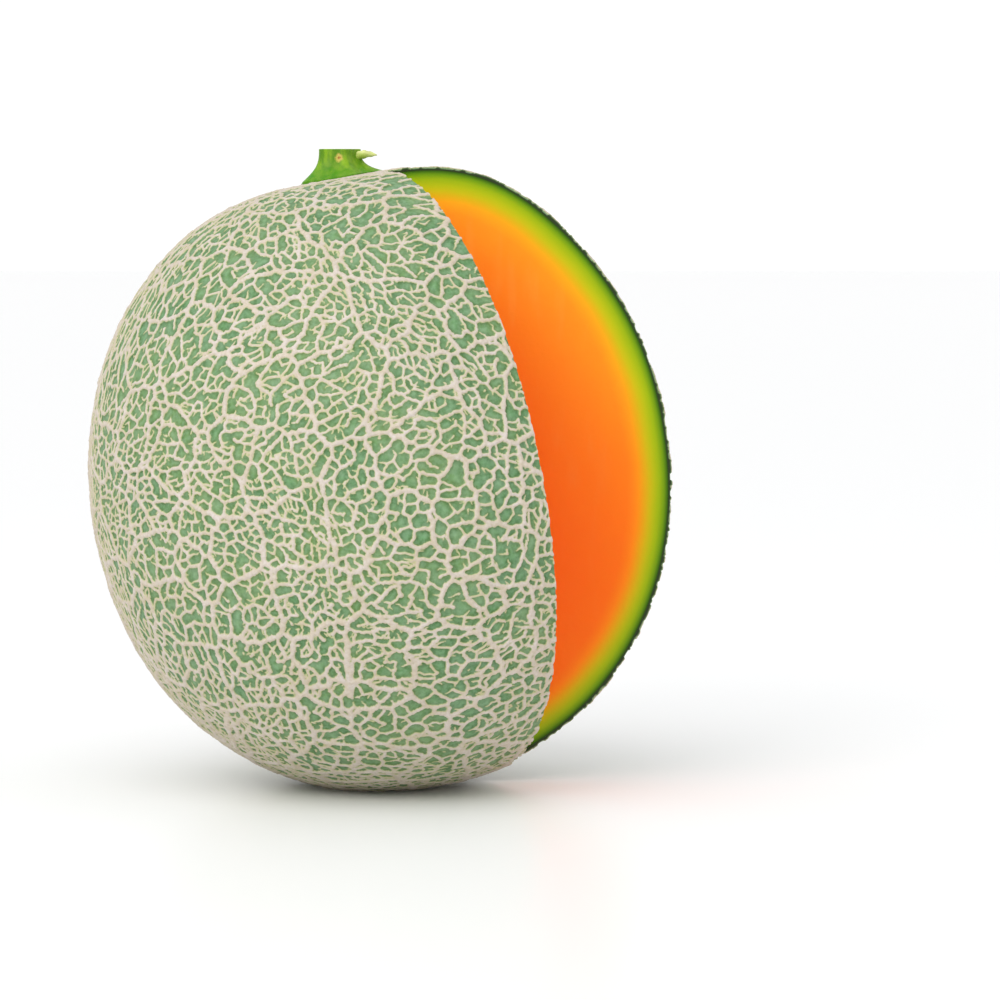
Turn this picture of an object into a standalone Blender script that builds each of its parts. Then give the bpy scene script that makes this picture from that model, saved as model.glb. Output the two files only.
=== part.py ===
"""A round netted melon with one wedge cut out of it, standing on a small flat spot.

Metres, +Z up. The origin is the middle of the flat spot that the melon rests on.
A heading is an angle seen from above: 0 points along -Y and 90 degrees along +X.
Inside the melon, a point is given by its height along the leaning core line, its
distance from that line and its heading round it.
"""

import math

import bmesh
import bpy
from mathutils import Vector

# Driving dimensions
EQUATOR_RADIUS = 0.0734
HALF_HEIGHT = 0.0790
SQUARENESS = 2.10  # 2 is an ellipse, more is a squarer outline
LEAN = math.radians(8.5)
LEAN_HEADING = math.radians(255)
CENTRE = Vector((0.0017, -0.0002, 0.0773))  # of the uncut melon, from the rest spot

# Swellings and dimples of the skin: (heading, angle from straight up, height, spread)
STEM_DIMPLE = (LEAN_HEADING, LEAN, -0.0032, math.radians(18))
BLOSSOM_DIMPLE = (LEAN_HEADING + math.pi, math.pi - LEAN, -0.0008, math.radians(10))
HIGH_SHOULDER = (math.radians(92), math.radians(17), 0.0023, math.radians(17))

# The missing wedge: two flat cuts that meet in one line
CUT_LINE_TOP = Vector((0.0000, -0.0050, 0.0783))  # from the melon's centre
CUT_LINE_FOOT = Vector((0.0260, 0.0030, -0.0740))
NEAR_CUT_HEADING = math.radians(24.5)
FAR_CUT_HEADING = math.radians(97)

CAVITY_RADIUS = 0.031
CAVITY_HALF_LENGTH = 0.046
CAVITY_TAPER = 0.7

STEM_TOP_Z = 0.0830  # above the melon's centre
STEM_FOOT_RADIUS = 0.0098
STEM_NECK_RADIUS = 0.0053
STEM_LOBES = 5
STEM_LOBE_DEPTH = 0.0011
SPUR_LENGTH = 0.0046
SPUR_RADIUS = 0.0010

STRAND_HEADINGS = [math.radians(33 + 72 * strand) for strand in range(5)]
STRAND_HALF_ANGLE = math.radians(29)
STRAND_HALF_LENGTH = 0.036
STRAND_THICKNESS = 0.0062
STRAND_EDGE = 0.0012

SEEDS_PER_ROW = 6
SEED_LENGTH = 0.0105
SEED_WIDTH = 0.0044
SEED_THICKNESS = 0.0019
SEED_PITCH = 0.0094
SEED_ROW_SPREAD = 0.0045
ROWS_ON_STRANDS = [(-1,), (1,), (-1, 1), (-1, 1), (-1, 1)]  # the first two strands are cut

GAP = 0.0003  # between neighbouring solids
REACH = 0.2  # how far a cutter reaches past the melon

SKIN_SEGMENTS = 48
SKIN_RINGS = 28
CAVITY_SEGMENTS = 24
CAVITY_RINGS = 14


def heading_vector(heading):
    return Vector((math.sin(heading), -math.cos(heading), 0))


def tilted_vector(heading, from_up):
    """The unit vector at this angle from straight up, towards this heading."""
    return heading_vector(heading) * math.sin(from_up) + Vector((0, 0, math.cos(from_up)))


CORE = tilted_vector(LEAN_HEADING, LEAN)  # the melon's own up direction
CORE_FRONT = (heading_vector(0) - CORE * CORE.dot(heading_vector(0))).normalized()
CORE_RIGHT = CORE_FRONT.cross(CORE).normalized() * -1
CUT_LINE = (CUT_LINE_TOP - CUT_LINE_FOOT).normalized()


def outward(heading):
    """The direction away from the core line at this heading round it."""
    return CORE_FRONT * math.cos(heading) + CORE_RIGHT * math.sin(heading)


def inside_point(height, distance, heading):
    return CENTRE + CORE * height + outward(heading) * distance


def skin_distance(direction):
    """How far the skin is from the melon's centre in this direction."""
    along = abs(direction.dot(CORE))
    across = math.sqrt(max(0.0, 1 - along * along))
    power = SQUARENESS
    sum_of_powers = (across / EQUATOR_RADIUS) ** power + (along / HALF_HEIGHT) ** power
    distance = sum_of_powers ** (-1 / power)
    for heading, from_up, height, spread in (STEM_DIMPLE, BLOSSOM_DIMPLE, HIGH_SHOULDER):
        angle = direction.angle(tilted_vector(heading, from_up))
        distance += height * math.exp(-((angle / spread) ** 2))
    return distance


def cavity_distance(height):
    """How far the cavity wall is from the core line at this height."""
    return CAVITY_RADIUS * (1 - (height / CAVITY_HALF_LENGTH) ** 2) ** CAVITY_TAPER


def finish_material(name, colour, roughness):
    material = bpy.data.materials.new(name)
    material.use_nodes = True
    shader = material.node_tree.nodes["Principled BSDF"]
    shader.inputs["Base Color"].default_value = (*colour, 1)
    shader.inputs["Roughness"].default_value = roughness
    shader.inputs["Metallic"].default_value = 0
    return material


RIND = finish_material("netted_rind", (0.36, 0.43, 0.30), 0.6)
STALK = finish_material("green_stalk", (0.16, 0.36, 0.03), 0.5)
PULP = finish_material("orange_pulp", (0.90, 0.27, 0.03), 0.3)
SEED = finish_material("cream_seed", (0.93, 0.58, 0.24), 0.35)


def add_object(name, bm, material):
    """Turns a bmesh in world coordinates into one smooth-shaded object."""
    bmesh.ops.recalc_face_normals(bm, faces=bm.faces)
    mesh = bpy.data.meshes.new(name)
    bm.to_mesh(mesh)
    bm.free()
    mesh.shade_smooth()
    mesh.set_sharp_from_angle(angle=math.radians(40))
    obj = bpy.data.objects.new(name, mesh)
    bpy.context.scene.collection.objects.link(obj)
    if material:
        mesh.materials.append(material)
    return obj


def skin_over_rings(rings, closed_by_points):
    """A bmesh that joins rings of points, with an end point beyond the first and the last."""
    bm = bmesh.new()
    loops = [[bm.verts.new(point) for point in ring] for ring in rings]
    for lower, upper in zip(loops, loops[1:]):
        for i in range(len(lower)):
            j = (i + 1) % len(lower)
            bm.faces.new((lower[i], lower[j], upper[j], upper[i]))
    for loop, point in zip((loops[0], loops[-1]), closed_by_points):
        tip = bm.verts.new(point)
        for i in range(len(loop)):
            bm.faces.new((loop[i], loop[(i + 1) % len(loop)], tip))
    return bm


def whole_melon():
    """The melon before it is cut: rings of skin points from the blossom end to the stem end."""
    rings = []
    for ring in range(1, SKIN_RINGS):
        from_core = math.pi * (1 - ring / SKIN_RINGS)
        points = []
        for segment in range(SKIN_SEGMENTS):
            heading = 2 * math.pi * segment / SKIN_SEGMENTS
            direction = CORE * math.cos(from_core) + outward(heading) * math.sin(from_core)
            points.append(CENTRE + direction * skin_distance(direction))
        rings.append(points)
    ends = [CENTRE + end * skin_distance(end) for end in (-CORE, CORE)]
    return add_object("melon_body", skin_over_rings(rings, ends), RIND)


def cavity_cutter():
    rings = []
    for ring in range(1, CAVITY_RINGS):
        height = -CAVITY_HALF_LENGTH * math.cos(math.pi * ring / CAVITY_RINGS)
        distance = cavity_distance(height)
        headings = [2 * math.pi * segment / CAVITY_SEGMENTS for segment in range(CAVITY_SEGMENTS)]
        rings.append([inside_point(height, distance, heading) for heading in headings])
    ends = [CENTRE + CORE * side * CAVITY_HALF_LENGTH for side in (-1, 1)]
    return add_object("cavity_cutter", skin_over_rings(rings, ends), None)


def wedge_cutter():
    """A tall three-sided prism between the two flat cuts."""
    foot = CENTRE + (CUT_LINE_TOP + CUT_LINE_FOOT) / 2 - CUT_LINE * REACH
    near = foot + heading_vector(NEAR_CUT_HEADING) * REACH
    far = foot + heading_vector(FAR_CUT_HEADING) * REACH
    bm = bmesh.new()
    lower = [bm.verts.new(point) for point in (foot, near, far)]
    face = bm.faces.new(lower)
    top = bmesh.ops.extrude_face_region(bm, geom=[face])["geom"]
    moved = [item for item in top if isinstance(item, bmesh.types.BMVert)]
    bmesh.ops.translate(bm, vec=CUT_LINE * 2 * REACH, verts=moved)
    return add_object("wedge_cutter", bm, None)


def floor_cutter():
    """Everything under the rest spot."""
    bm = bmesh.new()
    bmesh.ops.create_cube(bm, size=REACH)
    bmesh.ops.translate(bm, vec=(0, 0, -REACH / 2), verts=bm.verts)
    return add_object("floor_cutter", bm, None)


def cut_with(obj, cutter):
    cutter.hide_render = True
    cutter.display_type = "WIRE"
    boolean = obj.modifiers.new(cutter.name, "BOOLEAN")
    boolean.operation = "DIFFERENCE"
    boolean.solver = "EXACT"
    boolean.object = cutter


def make_melon_body(knife):
    body = whole_melon()
    for cutter in (knife, cavity_cutter(), floor_cutter()):
        cut_with(body, cutter)


def over_skin(offset):
    """The point just above the skin that lies straight over this offset from the stem's middle."""
    pole = CORE * skin_distance(CORE)
    direction = (pole + offset).normalized()
    return CENTRE + direction * (skin_distance(direction) + GAP)


def stem_ring(radius, lobe_depth, level):
    """A lobed ring. Level 0 lies on the skin and level 1 is the flat cut top."""
    middle = CENTRE + CORE * skin_distance(CORE)
    points = []
    count = STEM_LOBES * 4
    for i in range(count):
        heading = 2 * math.pi * i / count
        lobed = radius + lobe_depth * math.cos(STEM_LOBES * heading)
        foot = over_skin(outward(heading) * lobed)
        top = middle + heading_vector(heading) * lobed
        top.z = CENTRE.z + STEM_TOP_Z
        points.append(foot.lerp(top, level))
    return points


def make_stem():
    """The stalk's stub: a lobed foot that follows the skin, a waist and a flat knife cut."""
    foot, neck = STEM_FOOT_RADIUS, STEM_NECK_RADIUS
    lobe = STEM_LOBE_DEPTH
    rings = [
        stem_ring(foot * 0.5, lobe * 0.5, 0),
        stem_ring(foot, lobe, 0),
        stem_ring(foot * 0.86, lobe, 0.16),
        stem_ring(foot * 0.66, lobe * 0.8, 0.40),
        stem_ring(neck * 1.04, lobe * 0.5, 0.75),
        stem_ring(neck, lobe * 0.3, 1),
        stem_ring(neck * 0.5, lobe * 0.15, 1),
    ]
    top = CENTRE + CORE * skin_distance(CORE)
    top.z = CENTRE.z + STEM_TOP_Z
    stem = add_object("stem", skin_over_rings(rings, (over_skin(Vector()), top)), STALK)
    join_spur(stem, top)


def join_spur(stem, stem_top):
    """A short dry spur that points to the right just under the knife cut."""
    start = stem_top + Vector((STEM_NECK_RADIUS * 0.6, 0, -0.0016))
    sides = 8
    rings = []
    for share, radius in ((0, 1.3), (0.6, 0.9), (0.95, 0.4)):
        centre = start + Vector((STEM_NECK_RADIUS * 0.4 + SPUR_LENGTH, 0, 0)) * share
        turns = [2 * math.pi * i / sides for i in range(sides)]
        around = [Vector((0, math.sin(turn), math.cos(turn))) for turn in turns]
        rings.append([centre + side * radius * SPUR_RADIUS for side in around])
    tip = start + Vector((STEM_NECK_RADIUS * 0.4 + SPUR_LENGTH, 0, 0))
    spur = add_object("spur_to_join", skin_over_rings(rings, (start, tip)), None)
    cut_with(stem, spur)
    stem.modifiers[spur.name].operation = "UNION"


def strand_depth(height, side):
    """How far a pulp strand stands in from the wall. Side is -1 to 1 across the strand."""
    along = 1 - (height / STRAND_HALF_LENGTH) ** 2
    across = 1 - side * side
    return STRAND_EDGE + (STRAND_THICKNESS - STRAND_EDGE) * (along * across) ** 0.6


def strand_ring(height, heading):
    """One section across a strand: out along the wall, and back along its bulging face."""
    steps = 6
    sides = [-1 + 2 * i / steps for i in range(steps + 1)]
    wall = cavity_distance(height) - GAP * 3
    ring = [inside_point(height, wall, heading + side * STRAND_HALF_ANGLE) for side in sides]
    for side in reversed(sides):
        distance = wall - strand_depth(height, side)
        ring.append(inside_point(height, distance, heading + side * STRAND_HALF_ANGLE))
    return ring


def make_strand(number, heading, knife):
    """A pulp strand along the wall. The knife trims it flush with the flat cuts."""
    steps = 12
    heights = [STRAND_HALF_LENGTH * (-1 + 2 * i / steps) for i in range(steps + 1)]
    rings = [strand_ring(height, heading) for height in heights]
    bm = bmesh.new()
    loops = [[bm.verts.new(point) for point in ring] for ring in rings]
    for lower, upper in zip(loops, loops[1:]):
        for i in range(len(lower)):
            j = (i + 1) % len(lower)
            bm.faces.new((lower[i], lower[j], upper[j], upper[i]))
    bm.faces.new(loops[0])
    bm.faces.new(loops[-1])
    bmesh.ops.triangulate(bm, faces=bm.faces)
    cut_with(add_object(f"placenta_{number}", bm, PULP), knife)


def seed_half_width(share):
    """A seed's outline: blunt at its far end and drawn to a point where it hangs on."""
    return math.sin(math.pi * share) ** 0.6 * (0.62 + 0.38 * share)


def make_seed(number, height, heading, sideways):
    """A flat seed that points in from its strand, towards the core line."""
    across = outward(heading + math.pi / 2)
    inner_face = cavity_distance(height) - GAP * 3 - strand_depth(height, 0)
    root = inside_point(height, inner_face - GAP, heading) + across * sideways
    inward = -outward(heading)
    sides = 8
    rings = []
    for share in (0.12, 0.35, 0.62, 0.86):
        width = seed_half_width(share)
        ring = []
        for i in range(sides):
            turn = 2 * math.pi * i / sides
            spread = across * math.cos(turn) * SEED_WIDTH / 2 * width
            rise = CORE * math.sin(turn) * SEED_THICKNESS / 2 * width
            ring.append(root + inward * SEED_LENGTH * share + spread + rise)
        rings.append(ring)
    tips = (root, root + inward * SEED_LENGTH)
    add_object(f"seed_{number:02d}", skin_over_rings(rings, tips), SEED)


def make_seeds():
    """Rows on each strand. Neighbouring rows are set at staggered heights."""
    number = 0
    for strand, heading in enumerate(STRAND_HEADINGS):
        for side in ROWS_ON_STRANDS[strand]:
            stagger = (side / 4 + (strand % 2) / 4 - 0.125) * SEED_PITCH
            sideways = side * SEED_ROW_SPREAD
            for i in range(SEEDS_PER_ROW):
                number += 1
                height = (i - (SEEDS_PER_ROW - 1) / 2) * SEED_PITCH + stagger
                make_seed(number, height, heading, sideways)


def main():
    for obj in list(bpy.data.objects):
        bpy.data.objects.remove(obj, do_unlink=True)
    knife = wedge_cutter()
    make_melon_body(knife)
    make_stem()
    for number, heading in enumerate(STRAND_HEADINGS, start=1):
        make_strand(number, heading, knife)
    make_seeds()


main()
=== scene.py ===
# %% [markdown]
# # A netted melon with one wedge cut out
#
# This lesson builds the looks of a cut melon around a fixed frame. The frame holds plain solids that say
# where everything is: the body, the stalk, five strands of pulp and the seeds. Each step makes one real
# piece of the fruit and says how, and why this way.

# %% Load the frame
import math

import bmesh
import bpy
import numpy as np
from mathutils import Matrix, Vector, geometry


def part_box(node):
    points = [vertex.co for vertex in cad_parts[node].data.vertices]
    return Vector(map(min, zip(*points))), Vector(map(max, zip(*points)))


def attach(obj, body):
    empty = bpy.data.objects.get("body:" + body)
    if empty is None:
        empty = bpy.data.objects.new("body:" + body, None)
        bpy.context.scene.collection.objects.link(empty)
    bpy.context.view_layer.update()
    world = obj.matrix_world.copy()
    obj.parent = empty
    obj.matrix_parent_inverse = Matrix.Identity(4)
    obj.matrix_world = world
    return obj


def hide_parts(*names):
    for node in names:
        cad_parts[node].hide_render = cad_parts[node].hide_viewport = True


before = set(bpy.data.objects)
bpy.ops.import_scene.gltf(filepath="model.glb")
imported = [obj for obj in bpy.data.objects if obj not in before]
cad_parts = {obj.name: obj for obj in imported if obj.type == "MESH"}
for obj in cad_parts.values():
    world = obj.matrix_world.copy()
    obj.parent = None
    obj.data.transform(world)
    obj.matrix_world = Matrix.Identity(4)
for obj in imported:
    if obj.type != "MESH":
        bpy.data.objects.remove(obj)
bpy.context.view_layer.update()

MM = 0.001
print("the solids in the frame:", len(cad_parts))

# %% [markdown]
# ## The shape of the fruit
#
# A melon is close to a ball that is a little taller than wide and a little squarer than an ellipse. It is
# handled best as a law: a direction goes in, and the distance from the middle to the skin comes out. Every
# later piece asks this one law, so the skin, the flesh and the stalk's foot always fit each other. The
# numbers are the same driving dimensions as the solid in the frame, and the last line prints the solid's
# size.

# %% The fruit's own directions
LEAN = math.radians(8.5)
LEAN_HEADING = math.radians(255)  # headings run from -Y (0) to +X (90 degrees)
CENTRE = np.array((1.7, -0.2, 77.3)) * MM


def heading_vector(heading):
    return np.array((math.sin(heading), -math.cos(heading), 0.0))


def tilted_vector(heading, from_up):
    return heading_vector(heading) * math.sin(from_up) + np.array((0, 0, math.cos(from_up)))


CORE = tilted_vector(LEAN_HEADING, LEAN)
CORE_FRONT = heading_vector(0) - CORE * CORE.dot(heading_vector(0))
CORE_FRONT /= np.linalg.norm(CORE_FRONT)
CORE_RIGHT = np.cross(CORE, CORE_FRONT)
print("the core line leans", round(math.degrees(LEAN), 1), "degrees")

# %% The law of the skin
EQUATOR_RADIUS = 73.4 * MM
HALF_HEIGHT = 79.0 * MM
SQUARENESS = 2.10
# Each swelling or dimple: its direction, its height and how wide it spreads
STEM_DIMPLE = (CORE, -3.2 * MM, math.radians(18))
BLOSSOM_DIMPLE = (-CORE, -0.8 * MM, math.radians(10))
HIGH_SHOULDER = (tilted_vector(math.radians(92), math.radians(17)), 2.3 * MM, math.radians(17))


def unit(vectors):
    return vectors / np.linalg.norm(vectors, axis=-1, keepdims=True)


def skin_distance(directions):
    """How far the skin is from the melon's centre in each unit direction."""
    along = np.abs(directions @ CORE)
    across = np.sqrt(np.clip(1 - along**2, 0, 1))
    power = SQUARENESS
    distance = ((across / EQUATOR_RADIUS) ** power + (along / HALF_HEIGHT) ** power) ** (-1 / power)
    for middle, height, spread in (STEM_DIMPLE, BLOSSOM_DIMPLE, HIGH_SHOULDER):
        angle = np.arccos(np.clip(directions @ middle, -1, 1))
        distance = distance + height * np.exp(-((angle / spread) ** 2))
    return distance


def depth_below_skin(points):
    offset = points - CENTRE
    reach = np.linalg.norm(offset, axis=-1)
    return skin_distance(offset / reach[..., None]) - reach


def core_places(points):
    """Height along the core line, distance from it and heading round it."""
    offset = points - CENTRE
    height = offset @ CORE
    right = offset @ CORE_RIGHT
    front = offset @ CORE_FRONT
    return height, np.hypot(right, front), np.arctan2(right, front)


def outward(heading):
    """The direction away from the core line at this heading round it."""
    heading = np.asarray(heading)[..., None]
    return CORE_FRONT * np.cos(heading) + CORE_RIGHT * np.sin(heading)


def inside_points(height, distance, heading):
    height = np.asarray(height)[..., None]
    return CENTRE + CORE * height + outward(heading) * np.asarray(distance)[..., None]


cad_low, cad_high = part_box("melon_body")
print("the solid is", [round(1000 * (b - a), 1) for a, b in zip(cad_low, cad_high)], "mm")

# %% The two flat cuts and the hollow
CUT_LINE_TOP = CENTRE + np.array((0.0, -5.0, 78.3)) * MM
CUT_LINE_FOOT = CENTRE + np.array((26.0, 3.0, -74.0)) * MM
CUT_LINE = unit(CUT_LINE_TOP - CUT_LINE_FOOT)
NEAR_CUT_HEADING = math.radians(24.5)
FAR_CUT_HEADING = math.radians(97)
# These point into the missing wedge from each cut face
NEAR_CUT_NORMAL = unit(np.cross(CUT_LINE, heading_vector(NEAR_CUT_HEADING)))
FAR_CUT_NORMAL = -unit(np.cross(CUT_LINE, heading_vector(FAR_CUT_HEADING)))
CAVITY_RADIUS = 31 * MM
CAVITY_HALF_LENGTH = 46 * MM
CAVITY_TAPER = 0.7


def past_cuts(points):
    """How far each point is past the near cut and past the far cut. Both are positive in the wedge."""
    offset = points - CUT_LINE_TOP
    return offset @ NEAR_CUT_NORMAL, offset @ FAR_CUT_NORMAL


def cavity_distance(height):
    share = np.clip(1 - (np.asarray(height) / CAVITY_HALF_LENGTH) ** 2, 0, 1)
    return CAVITY_RADIUS * share**CAVITY_TAPER


print("the cuts open", round(math.degrees(FAR_CUT_HEADING - NEAR_CUT_HEADING), 1), "degrees")

# %% [markdown]
# ## Helpers for meshes and node trees
#
# A finished piece is a mesh whose place is in its points, so its object stays at the origin. The helpers
# below turn arrays of points and faces into such an object, and keep node trees short to write.

# %% Mesh helpers


def placed(name, data):
    """A new object in the scene, at the origin, that holds this mesh, lamp or camera."""
    obj = bpy.data.objects.new(name, data)
    bpy.context.scene.collection.objects.link(obj)
    return obj


def new_object(name, points, faces):
    mesh = bpy.data.meshes.new(name)
    rows = [tuple(int(corner) for corner in face) for face in faces]
    mesh.from_pydata(np.asarray(points).tolist(), [], rows)
    return placed(name, mesh)


def triangle_object(name, points, triangles):
    """The same for a great many triangles, filled in as whole arrays."""
    mesh = bpy.data.meshes.new(name)
    mesh.vertices.add(len(points))
    mesh.vertices.foreach_set("co", np.asarray(points, np.float32).ravel())
    mesh.loops.add(3 * len(triangles))
    mesh.loops.foreach_set("vertex_index", np.asarray(triangles, np.int32).ravel())
    mesh.polygons.add(len(triangles))
    mesh.polygons.foreach_set("loop_start", np.arange(0, 3 * len(triangles), 3, dtype=np.int32))
    mesh.update(calc_edges=True)
    return placed(name, mesh)


def add_values(obj, name, values):
    attribute = obj.data.attributes.new(name, "FLOAT", "POINT")
    attribute.data.foreach_set("value", np.asarray(values, np.float32))


def values_of(mesh, name):
    values = np.empty(len(mesh.vertices), np.float32)
    mesh.attributes[name].data.foreach_get("value", values)
    return values


def points_of(mesh):
    points = np.empty(3 * len(mesh.vertices))
    mesh.vertices.foreach_get("co", points)
    return points.reshape(-1, 3)


def vertex_normals(points, triangles):
    corners = points[triangles]
    facing = np.cross(corners[:, 1] - corners[:, 0], corners[:, 2] - corners[:, 0])
    normals = np.zeros_like(points)
    for corner in range(3):
        for axis in range(3):
            normals[:, axis] += np.bincount(triangles[:, corner], facing[:, axis], len(points))
    return unit(normals)


def baked(obj):
    """A plain mesh object made from what obj's modifiers give. The working object is removed."""
    bpy.context.view_layer.update()
    graph = bpy.context.evaluated_depsgraph_get()
    mesh = bpy.data.meshes.new_from_object(obj.evaluated_get(graph))
    name = obj.name
    bpy.data.objects.remove(obj)
    return placed(name, mesh)


# %% Node tree helpers


def add_node(tree, kind, values=None, **settings):
    """A new node with its settings, and with a value or a link in each input that is given."""
    made = tree.nodes.new(kind)
    for key, value in settings.items():
        setattr(made, key, value)
    for key, value in (values or {}).items():
        if isinstance(value, bpy.types.NodeSocket):
            tree.links.new(value, made.inputs[key])
        else:
            made.inputs[key].default_value = value
    return made


def calculate(tree, operation, *values):
    return add_node(tree, "ShaderNodeMath", dict(enumerate(values)), operation=operation).outputs[0]


def new_shape_tree(name, sockets):
    """A Geometry Nodes tree with a Geometry input and output and these named inputs."""
    tree = bpy.data.node_groups.new(name, "GeometryNodeTree")
    tree.interface.new_socket("Geometry", in_out="INPUT", socket_type="NodeSocketGeometry")
    for label, kind in sockets:
        tree.interface.new_socket(label, in_out="INPUT", socket_type=kind)
    tree.interface.new_socket("Geometry", in_out="OUTPUT", socket_type="NodeSocketGeometry")
    return tree


def finish_shape_tree(tree, made):
    """Ends a tree as every one here ends: real geometry, with its material set."""
    inputs = next(node for node in tree.nodes if node.bl_idname == "NodeGroupInput")
    real = add_node(tree, "GeometryNodeRealizeInstances", {"Geometry": made})
    painted = add_node(
        tree,
        "GeometryNodeSetMaterial",
        {"Geometry": real.outputs["Geometry"], "Material": inputs.outputs["Material"]},
    )
    add_node(tree, "NodeGroupOutput", {"Geometry": painted.outputs["Geometry"]})


def shape_with(obj, tree, values):
    """Adds the tree as a modifier and sets its inputs by their identifiers."""
    modifier = obj.modifiers.new(tree.name, "NODES")
    modifier.node_group = tree
    for item in tree.interface.items_tree:
        if item.in_out == "INPUT" and item.name in values:
            modifier[item.identifier] = values[item.name]


print("helpers are ready")

# %% [markdown]
# ## Camera, light and floor
#
# The camera comes first, so that every step can be looked at from where it matters. It stands about 1.2 m
# away and a little above the fruit with a long lens, which keeps the ball from looking like a bulge. The
# light is a white room with one large soft lamp in front, so the shadows are pale and have no edge.

# %% Camera
CAMERA_REACH = 1.2
CAMERA_ELEVATION = math.radians(4.0)
CAMERA_LENS = 171  # mm
SENSOR_WIDTH = 36  # mm
AIM = Vector((31.5, 0.0, 71.9)) * MM
camera_data = bpy.data.cameras.new("camera")
camera_data.lens = CAMERA_LENS
camera_data.sensor_width = SENSOR_WIDTH
camera = placed("camera", camera_data)
backwards = Vector((0, -math.cos(CAMERA_ELEVATION), math.sin(CAMERA_ELEVATION)))
camera.location = AIM + backwards * CAMERA_REACH
camera.rotation_euler = backwards.to_track_quat("Z", "Y").to_euler()
bpy.context.scene.camera = camera
print("the camera is at", [round(value, 3) for value in camera.location])

# %% Room and lamps
ROOM_LIGHT = 0.84
BACKDROP_LIGHT = 1.05
SOFT_SUN = 0.95
FRONT_LAMP = 3.0  # W
bpy.context.scene.view_settings.view_transform = "Standard"
world = bpy.data.worlds.new("white room")
world.use_nodes = True
bpy.context.scene.world = world
room = world.node_tree
room.nodes.clear()
is_seen = add_node(room, "ShaderNodeLightPath").outputs["Is Camera Ray"]
room_strength = calculate(room, "MULTIPLY_ADD", is_seen, BACKDROP_LIGHT - ROOM_LIGHT, ROOM_LIGHT)
white = add_node(room, "ShaderNodeBackground", {"Color": (1, 1, 1, 1), "Strength": room_strength})
add_node(room, "ShaderNodeOutputWorld", {"Surface": white.outputs[0]})


def add_lamp(name, kind, place, power, **settings):
    lamp = bpy.data.lights.new(name, kind)
    lamp.energy = power
    for key, value in settings.items():
        setattr(lamp, key, value)
    obj = placed(name, lamp)
    obj.location = place
    obj.rotation_euler = (Vector(place) - Vector(CENTRE)).to_track_quat("Z", "Y").to_euler()


add_lamp("wide soft light", "SUN", (-0.35, -0.75, 1.2), SOFT_SUN, angle=math.radians(55))
add_lamp("front lamp", "AREA", (-0.5, -0.95, 0.7), FRONT_LAMP, size=0.5)
print("lamps:", len(bpy.data.lights))

# %% Floor
FLOOR_SIDE = 12.0
FLOOR_DROP = 0.05 * MM
half = FLOOR_SIDE / 2
floor_corners = [(x * half, y * half, -FLOOR_DROP) for x, y in ((-1, -1), (1, -1), (1, 1), (-1, 1))]
floor = new_object("floor", floor_corners, [(0, 1, 2, 3)])
floor_material = bpy.data.materials.new("pale floor")
floor_material.use_nodes = True
floor_shader = floor_material.node_tree.nodes["Principled BSDF"]
floor_shader.inputs["Base Color"].default_value = (0.975, 0.98, 0.985, 1)
floor_shader.inputs["Roughness"].default_value = 0.32
floor_shader.inputs["Specular IOR Level"].default_value = 0.25
floor.data.materials.append(floor_material)
print("the floor is", FLOOR_SIDE, "m wide")

# %% [markdown]
# ## The net: where the skin cracked
#
# A netted melon's skin cracks while the fruit swells, and the cracks heal into raised cork. Cracks divide a
# surface much as the borders between cells do, so the net starts as the borders of many scattered cells.
# A picture could be painted instead, but these ridges are raised, so their lines must be real. Scattered
# points on a ball have their borders where the triangles of their convex hull meet, which is quick to find.

# %% Scattered cells
NET_SEED = 11  # each later draw of the net adds a small number to it
CELL_COUNT = 9800
CELL_JITTER = 0.36  # of the spacing
WARP = 0.052  # of the radius
WARP_WAVES = 5.5
DENSER_BELOW = np.array((-0.03, 0, -0.09))  # the net is finer where the fruit lay


def scattered(count, jitter, seed):
    """Directions spread evenly over a ball and then each pushed a little."""
    rng = np.random.default_rng(seed)
    index = np.arange(count) + 0.5
    up = 1 - 2 * index / count
    turn = math.pi * (1 + math.sqrt(5)) * index
    flat = np.sqrt(1 - up**2)
    even = np.stack((flat * np.cos(turn), flat * np.sin(turn), up), -1)
    spacing = math.sqrt(4 * math.pi / count)
    return unit(even + rng.normal(size=even.shape) * jitter * spacing)


def smooth_push(directions, waves, seed):
    """A smooth random push for each direction, from a dozen sine waves."""
    rng = np.random.default_rng(seed)
    push = np.zeros_like(directions)
    wave_count = 12
    for _ in range(wave_count):
        wave = unit(rng.normal(size=3)) * waves * rng.uniform(0.6, 1.5)
        push += np.sin(directions @ wave + rng.uniform(0, math.tau))[:, None] * rng.normal(size=3)
    return push / math.sqrt(wave_count)


cells = scattered(CELL_COUNT, CELL_JITTER, NET_SEED)
print("cells:", len(cells))

# %% Borders between the cells


def cell_borders(directions):
    """The corners of the cells, and a row for each border: its two corners and its two cells."""
    hull = bmesh.new()
    for direction in directions:
        hull.verts.new(direction)
    hull.verts.index_update()
    bmesh.ops.convex_hull(hull, input=hull.verts)
    bmesh.ops.triangulate(hull, faces=hull.faces)
    hull.normal_update()
    hull.faces.index_update()
    corners = np.array([face.normal for face in hull.faces])
    one_cell = directions[[face.verts[0].index for face in hull.faces]]
    corners *= np.sign(np.sum(corners * one_cell, -1))[:, None]
    rows = [
        (edge.link_faces[0].index, edge.link_faces[1].index, edge.verts[0].index, edge.verts[1].index)
        for edge in hull.edges
        if len(edge.link_faces) == 2
    ]
    hull.free()
    return corners, np.array(rows)


def warped(directions):
    push = WARP * smooth_push(directions, WARP_WAVES, NET_SEED + 1)
    return unit(directions + DENSER_BELOW + push)


corners, borders = cell_borders(cells)
cells, corners = warped(cells), warped(corners)
print("corners:", len(corners), "borders:", len(borders))

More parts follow.
